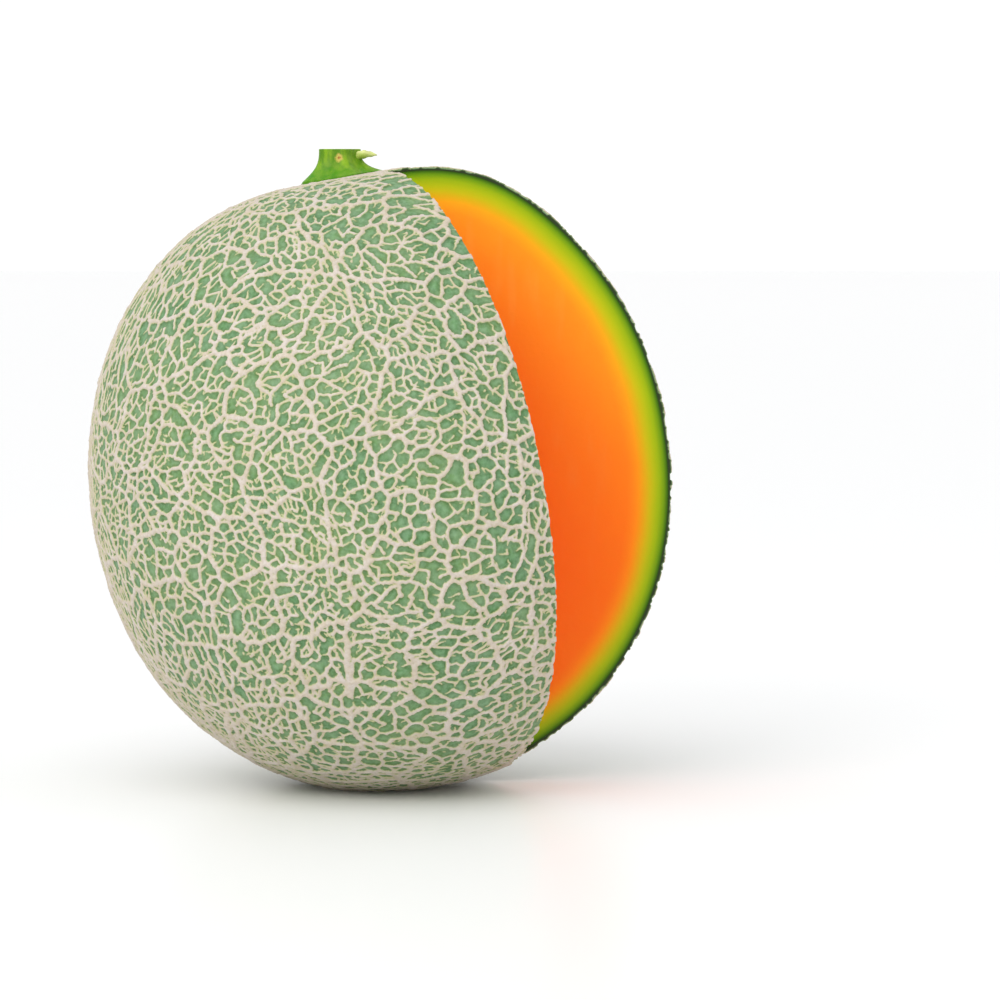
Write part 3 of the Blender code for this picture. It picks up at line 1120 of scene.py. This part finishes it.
pulp_pieces = []
for strand, heading in enumerate(STRAND_HEADINGS):
    piece = tube_of_rings(f"pulp_strand_{strand + 1}", strand_rings(strand, heading))
    take_away(piece, knife)
    piece = baked(piece)
    piece.data.shade_smooth()
    piece.data.set_sharp_from_angle(angle=math.radians(50))
    pulp_pieces.append(piece)
print("pulp faces:", [len(piece.data.polygons) for piece in pulp_pieces])

# %% One seed
SEED_LENGTH = 10.5 * MM
SEED_WIDTH = 4.2 * MM
SEED_THICKNESS = 1.9 * MM
SEED_SUNK = 0.06  # of its length
# How far up the seed each ring is and how wide, as shares of its length and width
SEED_RINGS = [(0.0, 0.16), (0.12, 0.50), (0.32, 0.88), (0.55, 1.0), (0.78, 0.78), (0.93, 0.40), (1.0, 0.10)]
SEED_SIDES = 8
seed_turns = np.arange(SEED_SIDES) * math.tau / SEED_SIDES
seed_rings = [
    np.stack(
        (
            np.cos(seed_turns) * wide * SEED_WIDTH / 2,
            np.sin(seed_turns) * wide**0.7 * SEED_THICKNESS / 2,
            np.full(SEED_SIDES, (up - SEED_SUNK) * SEED_LENGTH),
        ),
        -1,
    )
    for up, wide in SEED_RINGS
]
one_seed = tube_of_rings("one_seed", seed_rings)
print("one seed has", len(one_seed.data.polygons), "faces")

# %% Where the seeds stand
SEED_PITCH = 4.5 * MM
SEED_ROWS = (-0.72, -0.30, 0.30, 0.72)
SEED_CLEAR = 1.1 * MM  # seeds this near a cut went with the wedge
SEED_REACH = 31 * MM
SEED_BED = 0.9 * MM  # how deep the seeds sit in the pulp
SEED_FAN = 0.55  # how much the seeds near the ends lean towards the middle
rng = np.random.default_rng(81)
seed_rows = []
for heading in STRAND_HEADINGS:
    for row, side in enumerate(SEED_ROWS):
        for height in np.arange(-SEED_REACH, SEED_REACH, SEED_PITCH) + (row % 2) * SEED_PITCH / 2:
            place_height = height + rng.normal() * 0.5 * MM
            place_side = side + rng.normal() * 0.05
            turn = heading + place_side * STRAND_HALF_ANGLE
            depth = strand_depth(place_height, place_side) - SEED_BED
            root = inside_points(place_height, cavity_distance(place_height) - depth, turn)
            lean = CORE * (rng.normal() * 0.22 - place_height / STRAND_HALF_LENGTH * SEED_FAN)
            pointing = unit(-outward(turn) + lean + rng.normal(size=3) * 0.10)
            tangent = np.cross(CORE, outward(turn)) + rng.normal(size=3) * 0.25
            tip = root + pointing * SEED_LENGTH
            if all(min(past_cuts(point)) < -SEED_CLEAR for point in (root, tip)):
                seed_rows.append((root, pointing, tangent))
seed_points = new_object("seed_points", [row[0] for row in seed_rows], [])
for label, column in (("pointing", 1), ("across", 2)):
    layer = seed_points.data.attributes.new(label, "FLOAT_VECTOR", "POINT")
    layer.data.foreach_set("vector", np.array([row[column] for row in seed_rows]).ravel())
print("seeds:", len(seed_rows))

# %% The seed tree
seed_tree = new_shape_tree(
    "seeds on pulp",
    [
        ("Seed Shape", "NodeSocketObject"),
        ("Smallest", "NodeSocketFloat"),
        ("Largest", "NodeSocketFloat"),
        ("Random Seed", "NodeSocketInt"),
        ("Material", "NodeSocketMaterial"),
    ],
)
seed_in = add_node(seed_tree, "NodeGroupInput").outputs


def seed_vector(name):
    read = add_node(seed_tree, "GeometryNodeInputNamedAttribute", {"Name": name}, data_type="FLOAT_VECTOR")
    return read.outputs[0]


seed_turn = add_node(
    seed_tree,
    "FunctionNodeAxesToRotation",
    {"Primary Axis": seed_vector("pointing"), "Secondary Axis": seed_vector("across")},
    primary_axis="Z",
    secondary_axis="X",
).outputs[0]


def random_value(low, high):
    """A random number for each seed. Inputs 2 and 3 are the least and the most of a plain number."""
    values = {2: low, 3: high, "Seed": seed_in["Random Seed"]}
    return add_node(seed_tree, "FunctionNodeRandomValue", values, data_type="FLOAT").outputs[1]


seed_shape = add_node(seed_tree, "GeometryNodeObjectInfo", {"Object": seed_in["Seed Shape"]})
seeds_placed = add_node(
    seed_tree,
    "GeometryNodeInstanceOnPoints",
    {
        "Points": seed_in["Geometry"],
        "Instance": seed_shape.outputs["Geometry"],
        "Rotation": seed_turn,
        "Scale": random_value(seed_in["Smallest"], seed_in["Largest"]),
    },
).outputs[0]
seeds_tinted = add_node(
    seed_tree,
    "GeometryNodeStoreNamedAttribute",
    {"Geometry": seeds_placed, "Name": "seed_tint", "Value": random_value(0.0, 1.0)},
    data_type="FLOAT",
    domain="INSTANCE",
).outputs[0]
finish_shape_tree(seed_tree, seeds_tinted)
seed_material = bpy.data.materials.new("wet seed")
shape_with(
    seed_points,
    seed_tree,
    {
        "Seed Shape": one_seed,
        "Smallest": 0.82,
        "Largest": 1.04,
        "Random Seed": 5,
        "Material": seed_material,
    },
)
seed_points.name = "seeds"
seeds = baked(seed_points)
seeds.data.shade_smooth()
for helper in (one_seed, knife, hollow):
    bpy.data.objects.remove(helper)
print("seed faces:", len(seeds.data.polygons))

# %% [markdown]
# ## The stalk
#
# The stalk is cut short and flat. It is round at the neck and spreads into five ribs where it grips the
# fruit. Rings of points run from the skin to the cut, so the foot follows the skin exactly, and a few last
# rings draw in over the cut end to give it its rim and its pith. A tendril has left a short dry spur beside
# the top, which is a row of small rings that narrows to a point.

# %% Stalk
STALK_AXIS = CENTRE + np.array((-10.9, 2.9, 0.0)) * MM
STALK_TOP = CENTRE[2] + 83.0 * MM
STALK_FOOT_RADIUS = 9.6 * MM
STALK_NECK_RADIUS = 5.2 * MM
STALK_LOBE = 1.15 * MM
STALK_EDGE = 0.08  # of the height is the thick edge of the foot
STALK_FLARE = 3.2  # the higher, the lower the foot spreads out
STALK_ROOT = 0.25 * MM  # how far the foot reaches under the skin
# How far in from the side each last ring is and how far below the cut end, in mm
STALK_END = ((0.35, -0.06), (0.8, 0.25), (1.7, 0.42), (2.6, 0.30), (3.4, 0.38), (4.2, 0.75), (4.8, 0.95))
STALK_COLUMNS = 120
STALK_ROWS = 40
turns = np.linspace(0, math.tau, STALK_COLUMNS, endpoint=False)
spokes = heading_vector(0) * np.cos(turns)[:, None] + heading_vector(math.pi / 2) * np.sin(turns)[:, None]
lobes = np.cos(5 * (turns - math.radians(90)))
uneven = 0.5 * np.sin(turns - 1.2) + 0.35 * np.sin(2 * turns + 0.7) + 0.2 * np.sin(7 * turns + 2)


def on_skin(points, raise_by):
    """The points moved straight up or down until they are this far above the skin."""
    points = points.copy()
    for _ in range(12):
        points[:, 2] += depth_below_skin(points) + raise_by
    return points


stalk_rings = []
for share in np.linspace(0, 1, STALK_ROWS):
    flare = (1 - max(0, share - STALK_EDGE) / (1 - STALK_EDGE)) ** STALK_FLARE
    radius = STALK_NECK_RADIUS + (STALK_FOOT_RADIUS - STALK_NECK_RADIUS) * flare
    ribs = STALK_LOBE * (0.35 + 0.9 * flare) * lobes + uneven * MM * (0.25 + 0.6 * flare)
    ring = STALK_AXIS + spokes * (radius + ribs)[:, None]
    foot = on_skin(np.where(np.arange(3) == 2, CENTRE[2] + 76 * MM, ring), -STALK_ROOT)[:, 2]
    ring[:, 2] = foot + (STALK_TOP - foot) * share**0.85
    stalk_rings.append(ring)
for inset, drop in STALK_END:
    ring = STALK_AXIS + (stalk_rings[STALK_ROWS - 1] - STALK_AXIS) * (1 - inset * MM / STALK_NECK_RADIUS)
    ring[:, 2] = STALK_TOP - drop * MM
    stalk_rings.append(ring)
stalk = tube_of_rings("stalk_stub", stalk_rings)
stalk.data.shade_smooth()
stalk.data.set_sharp_from_angle(angle=math.radians(45))
print("the stalk stands to", round(STALK_TOP / MM, 1), "mm")

# %% The dry spur beside its top
SPUR_START, SPUR_RUN = np.array((4.2, -0.6, 0)), np.array((5.6, -1.2, 0))  # mm from the stalk's axis
SPUR_DROP, SPUR_ARCH = 1.75, 0.5  # mm
SPUR_RADIUS, SPUR_POINT = 1.35, 0.14  # mm
SPUR_ROWS, SPUR_SIDES = 14, 18
spur_turns = np.linspace(0, math.tau, SPUR_SIDES, endpoint=False)
spur_outline = np.stack((0 * spur_turns, np.cos(spur_turns), 0.8 * np.sin(spur_turns)), -1)
spur_rings = []
for step in np.linspace(0, 1, SPUR_ROWS):
    middle = STALK_AXIS * (1, 1, 0) + (SPUR_START + SPUR_RUN * step) * MM
    middle[2] = STALK_TOP - (SPUR_DROP - SPUR_ARCH * math.sin(step * 2.6)) * MM
    size = (SPUR_RADIUS * (1 - step**2.2) + SPUR_POINT) * MM * (1 + 0.12 * math.sin(step * 19))
    spur_rings.append(middle + spur_outline * size)
spur = tube_of_rings("stalk_spur", spur_rings)
spur.data.shade_smooth()
print("the spur has", len(spur.data.polygons), "faces")

# %% [markdown]
# ## Finishes
#
# Every finish is made of nodes. Soft mottling turns up in all of them, so it is one group that gives a
# colour between two others by noise. What follows the skin or the hollow reads the distances that were left
# on the meshes: a distance in millimetres puts each band of colour exactly where it belongs.

# %% Shader helpers and the mottling group


def from_srgb(*values):
    return tuple(((v / 255 + 0.055) / 1.055) ** 2.4 if v > 10 else v / 3294.6 for v in values) + (1.0,)


def new_paint(material):
    material.use_nodes = True
    tree = material.node_tree
    tree.nodes.clear()
    shader = add_node(tree, "ShaderNodeBsdfPrincipled")
    add_node(tree, "ShaderNodeOutputMaterial", {"Surface": shader.outputs[0]})
    return tree, shader


def object_place(tree):
    return add_node(tree, "ShaderNodeTexCoord").outputs["Object"]


def upward(tree, vector):
    return add_node(tree, "ShaderNodeSeparateXYZ", {"Vector": vector}).outputs["Z"]


def noise(tree, scale, detail=2.0, stretch=(1, 1, 1)):
    moved = add_node(tree, "ShaderNodeMapping", {"Vector": object_place(tree), "Scale": stretch}).outputs[0]
    values = {"Vector": moved, "Scale": scale, "Detail": detail}
    return add_node(tree, "ShaderNodeTexNoise", values).outputs[0]


def remap(tree, value, low, high, to_low=0.0, to_high=1.0):
    return add_node(
        tree,
        "ShaderNodeMapRange",
        {"Value": value, "From Min": low, "From Max": high, "To Min": to_low, "To Max": to_high},
        interpolation_type="SMOOTHSTEP",
    ).outputs[0]


def times(tree, first, second):
    return calculate(tree, "MULTIPLY", first, second)


def centred(tree, value):
    return calculate(tree, "SUBTRACT", value, 0.5)


def blend(tree, share, first, second):
    """A colour between two. Inputs 0, 6 and 7 and output 2 are those of a mix of colours."""
    return add_node(tree, "ShaderNodeMix", {0: share, 6: first, 7: second}, data_type="RGBA").outputs[2]


def attribute(tree, name):
    return add_node(tree, "ShaderNodeAttribute", attribute_name=name).outputs["Fac"]


def colour_bands(tree, value, high, bands):
    """A colour for each value from 0 to high: bands are (value, r, g, b)."""
    share = add_node(tree, "ShaderNodeMapRange", {"Value": value, "From Min": 0.0, "From Max": high})
    node = add_node(tree, "ShaderNodeValToRGB", {"Fac": share.outputs[0]})
    ramp = node.color_ramp
    for _ in range(len(bands) - 2):
        ramp.elements.new(0.5)
    for element, (at, *colour) in zip(ramp.elements, bands):
        element.position = at / high
        element.color = from_srgb(*colour)
    return node.outputs["Color"]


mottle = bpy.data.node_groups.new("mottle", "ShaderNodeTree")
for label, kind, start in (
    ("Colour", "NodeSocketColor", (1, 1, 1, 1)),
    ("Other Colour", "NodeSocketColor", (0, 0, 0, 1)),
    ("Scale", "NodeSocketFloat", 100.0),
    ("Amount", "NodeSocketFloat", 1.0),
):
    mottle.interface.new_socket(label, in_out="INPUT", socket_type=kind).default_value = start
mottle.interface.new_socket("Colour", in_out="OUTPUT", socket_type="NodeSocketColor")
mottle_in = add_node(mottle, "NodeGroupInput").outputs
mottle_noise = add_node(
    mottle,
    "ShaderNodeTexNoise",
    {"Vector": object_place(mottle), "Scale": mottle_in["Scale"], "Detail": 3.0, "Roughness": 0.6},
).outputs[0]
mottle_share = times(mottle, remap(mottle, mottle_noise, 0.35, 0.68), mottle_in["Amount"])
mottled = blend(mottle, mottle_share, mottle_in["Colour"], mottle_in["Other Colour"])
add_node(mottle, "NodeGroupOutput", {"Colour": mottled})


def mottle_with(tree, colour, *layers):
    """The colour mottled by each layer in turn: its sRGB colour, its scale and its amount."""
    for other, scale, amount in layers:
        values = {"Colour": colour, "Other Colour": from_srgb(*other), "Scale": scale, "Amount": amount}
        colour = add_node(tree, "ShaderNodeGroup", values, node_tree=mottle).outputs[0]
    return colour


def soft_inside(weight, reach, scale):
    """How much light enters, how far its red, green and blue go, and to what depth in mm."""
    return {"Subsurface Weight": weight, "Subsurface Radius": reach, "Subsurface Scale": scale * MM}


def finish_paint(tree, shader, colour, roughness, fixed, relief=None):
    """Feeds the shader. The relief is (height, strength, depth in mm)."""
    tree.links.new(colour, shader.inputs["Base Color"])
    tree.links.new(roughness, shader.inputs["Roughness"])
    for label, value in fixed.items():
        shader.inputs[label].default_value = value
    if relief:
        height, strength, depth = relief
        values = {"Strength": strength, "Distance": depth * MM, "Height": height}
        tree.links.new(add_node(tree, "ShaderNodeBump", values).outputs[0], shader.inputs["Normal"])


print("shader helpers are ready")

# %% Netted skin
tree, shader = new_paint(skin_material)
edge = attribute(tree, "net_edge")
rise = attribute(tree, "net_height")
# Painted shade: the darker green band from 0.14 to 0.36 mm beside each ridge stands for the shade at the
# ridge's foot. The greens further out are the skin's own colour.
skin_and_groove_shade_bands = [
    (0.0, 126, 142, 84), (0.14, 88, 120, 62), (0.36, 74, 116, 64), (0.8, 88, 136, 82), (1.4, 104, 152, 102),
]
green = mottle_with(
    tree,
    colour_bands(tree, edge, 1.6, skin_and_groove_shade_bands),
    ((132, 160, 128), 260.0, 0.50),
    ((140, 158, 88), 55.0, 0.32),
    ((56, 96, 54), 620.0, 0.42),
    ((150, 184, 148), 900.0, 0.28),
)
cork = mottle_with(
    tree,
    blend(tree, remap(tree, rise, 0.20, 0.42), from_srgb(204, 196, 160), from_srgb(203, 193, 182)),
    ((214, 204, 198), 130.0, 0.80),
    ((196, 180, 140), 340.0, 0.40),
    ((168, 150, 118), 1500.0, 0.25),
)
cork = blend(tree, remap(tree, edge, -0.16, 0.02), cork, from_srgb(184, 186, 138))
wobble = times(tree, centred(tree, noise(tree, 1300)), 0.14)
line = remap(tree, calculate(tree, "ADD", edge, wobble), -0.04, 0.10)
netted = blend(tree, line, cork, green)
wall = remap(tree, attribute(tree, "rind_wall"), 0.12, 0.5)
fine = calculate(tree, "ADD", noise(tree, 2600), times(tree, noise(tree, 900), 0.6))
finish_paint(
    tree,
    shader,
    blend(tree, wall, netted, from_srgb(30, 50, 3)),
    remap(tree, edge, -0.1, 0.1, 0.78, 0.46),
    {"Specular IOR Level": 0.35},
    (fine, 0.35, 0.12),
)
print("netted skin is painted")

# %% Flesh, by its depth under the skin in mm, with painted shade lower down
# Painted shade: between these heights the flesh is blended towards a deeper red-orange lower down. This
# stands in for the shade low in the wedge.
PAINTED_SHADE_FROM, PAINTED_SHADE_AT = 130 * MM, 45 * MM  # heights between which the orange deepens
flesh_bands = [
    (0.0, 26, 38, 2), (0.8, 34, 62, 1), (1.25, 68, 116, 1), (2.0, 112, 158, 1), (3.2, 154, 184, 1),
    (4.6, 180, 193, 3), (5.8, 200, 194, 6), (7.2, 224, 184, 10), (8.8, 250, 172, 18), (11.5, 254, 156, 22),
    (18.0, 255, 146, 22), (27.0, 255, 132, 14), (36.0, 255, 116, 8),
]
flesh_material = bpy.data.materials.new("ripe flesh")
tree, shader = new_paint(flesh_material)
depth = attribute(tree, "skin_depth")
drift = times(tree, centred(tree, noise(tree, 70, 1.0)), 1.1)
depth = calculate(tree, "MULTIPLY_ADD", drift, remap(tree, depth, 1.0, 5.0), depth)
fibre = noise(tree, 240, 3.0, stretch=(1, 1, 0.18))
fibre_share = times(tree, remap(tree, fibre, 0.52, 0.72), remap(tree, depth, 7.0, 16.0, 0.0, 0.13))
flesh_colour = colour_bands(tree, depth, 40.0, flesh_bands)
flesh_colour = blend(tree, fibre_share, flesh_colour, from_srgb(255, 182, 84))
cloudiness = remap(tree, depth, 5.0, 14.0, 0.0, 0.14)
flesh_colour = mottle_with(tree, flesh_colour, ((255, 118, 16), 45.0, cloudiness))
# Painted shade: the lower and deeper flesh is made a darker red-orange, as shade would make it.
low_painted_shade = remap(tree, upward(tree, object_place(tree)), PAINTED_SHADE_FROM, PAINTED_SHADE_AT)
low_painted_shade = times(tree, times(tree, low_painted_shade, remap(tree, depth, 3.0, 12.0)), 0.75)
flesh_colour = blend(tree, low_painted_shade, flesh_colour, from_srgb(255, 98, 2))
near_hollow = times(tree, remap(tree, attribute(tree, "hollow_depth"), 2.6, 0.4), 0.8)
flesh_colour = blend(tree, near_hollow, flesh_colour, from_srgb(255, 158, 58))
flesh_shine = {"Specular IOR Level": 0.14, "Coat Weight": 0.05, "Coat Roughness": 0.25}
finish_paint(
    tree,
    shader,
    flesh_colour,
    remap(tree, noise(tree, 330, 3.0), 0.3, 0.7, 0.30, 0.48),
    flesh_shine | soft_inside(0.22, (1.0, 0.42, 0.12), 3.0),
    (calculate(tree, "ADD", noise(tree, 900, 3.0), times(tree, fibre, 0.8)), 0.30, 0.25),
)
flesh.data.materials.append(flesh_material)
print("flesh is painted")

# %% Pulp
pulp_material = bpy.data.materials.new("wet pulp")
tree, shader = new_paint(pulp_material)
strings = noise(tree, 420, 4.0, stretch=(1, 1, 0.35))
string_share = remap(tree, strings, 0.36, 0.66)
pulp_colour = blend(tree, string_share, from_srgb(248, 112, 14), from_srgb(255, 166, 46))
finish_paint(
    tree,
    shader,
    mottle_with(tree, pulp_colour, ((255, 200, 96), 300.0, 0.35)),
    remap(tree, strings, 0.3, 0.7, 0.16, 0.34),
    {"Coat Weight": 0.2, "Coat Roughness": 0.12} | soft_inside(0.3, (1.0, 0.4, 0.12), 3.0),
    (strings, 0.6, 0.6),
)
for piece in pulp_pieces:
    piece.data.materials.append(pulp_material)
print("pulp is painted")

# %% Seeds
tree, shader = new_paint(seed_material)
seed_colour = blend(tree, attribute(tree, "seed_tint"), from_srgb(255, 178, 62), from_srgb(255, 214, 124))
finish_paint(
    tree,
    shader,
    mottle_with(tree, seed_colour, ((255, 148, 34), 260.0, 0.45)),
    remap(tree, noise(tree, 500), 0.3, 0.7, 0.14, 0.30),
    {"Coat Weight": 0.22, "Coat Roughness": 0.1} | soft_inside(0.25, (1.0, 0.55, 0.25), 1.5),
)
print("seeds are painted")

# %% Stalk
STALK_SCAR = STALK_AXIS * (1, 1, 0) + np.array((0.3, -5.2, 0)) * MM + (0, 0, STALK_TOP - 2.2 * MM)
DEEPER_FROM, DEEPER_AT = STALK_TOP - 2.8 * MM, STALK_TOP - 6.8 * MM  # the foot is a deeper green
PITH_FROM, PITH_AT = STALK_TOP - 1.8 * MM, STALK_TOP - 1.1 * MM
stalk_material = bpy.data.materials.new("green stalk")
tree, shader = new_paint(stalk_material)
height = upward(tree, object_place(tree))
veins = noise(tree, 520, 3.0, stretch=(1, 1, 0.14))
stalk_colour = blend(tree, remap(tree, veins, 0.35, 0.66), from_srgb(84, 134, 10), from_srgb(130, 172, 24))
stalk_colour = blend(tree, remap(tree, height, DEEPER_FROM, DEEPER_AT), stalk_colour, from_srgb(70, 138, 3))
stalk_colour = mottle_with(tree, stalk_colour, ((158, 184, 64), 330.0, 0.3))
scar_values = {0: object_place(tree), 1: tuple(STALK_SCAR)}
from_scar = add_node(tree, "ShaderNodeVectorMath", scar_values, operation="DISTANCE").outputs["Value"]
ragged = calculate(tree, "MULTIPLY_ADD", noise(tree, 1400), 1.1 * MM, from_scar)
stalk_colour = blend(tree, remap(tree, ragged, 1.9 * MM, 1.3 * MM), stalk_colour, from_srgb(196, 178, 84))
stalk_colour = blend(tree, remap(tree, ragged, 1.15 * MM, 0.8 * MM), stalk_colour, from_srgb(158, 98, 34))
facing_up = upward(tree, add_node(tree, "ShaderNodeNewGeometry").outputs["True Normal"])
pith = times(tree, remap(tree, height, PITH_FROM, PITH_AT), remap(tree, facing_up, 0.75, 0.9))
finish_paint(
    tree,
    shader,
    blend(tree, pith, stalk_colour, from_srgb(184, 196, 112)),
    remap(tree, veins, 0.3, 0.7, 0.42, 0.6),
    {"Specular IOR Level": 0.22} | soft_inside(0.1, (0.4, 1.0, 0.1), 1.0),
    (veins, 0.5, 0.4),
)
stalk.data.materials.append(stalk_material)
print("stalk is painted")

# %% Spur of a dry tendril
spur_material = bpy.data.materials.new("dry spur")
tree, shader = new_paint(spur_material)
streaks = noise(tree, 700, 3.0, stretch=(0.2, 1, 1))
streak_share = remap(tree, streaks, 0.35, 0.65)
spur_colour = blend(tree, streak_share, from_srgb(176, 196, 84), from_srgb(226, 232, 152))
finish_paint(
    tree,
    shader,
    mottle_with(tree, spur_colour, ((128, 116, 60), 600.0, 0.3)),
    remap(tree, streaks, 0.3, 0.7, 0.5, 0.7),
    {},
    (streaks, 0.5, 0.2),
)
spur.data.materials.append(spur_material)
print("the spur is painted")

# %% [markdown]
# ## Hand the pieces to the frame
#
# Each piece rides on the fruit's one body and stands for the plain solid that held its place.

# %% Ride and replace
for piece, slot, solids in (
    (flesh, "rind_and_flesh", ["melon_body"]),
    (stalk, "stalk", ["stem"]),
    (spur, "stalk", ["stem"]),
    (seeds, "seed", [f"seed_{number:02d}" for number in range(1, 49)]),
    *((piece, "pulp", [f"placenta_{number}"]) for number, piece in enumerate(pulp_pieces, start=1)),
):
    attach(piece, "root")
    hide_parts(*solids)
print("pieces:", len(rind) + 4 + len(pulp_pieces))
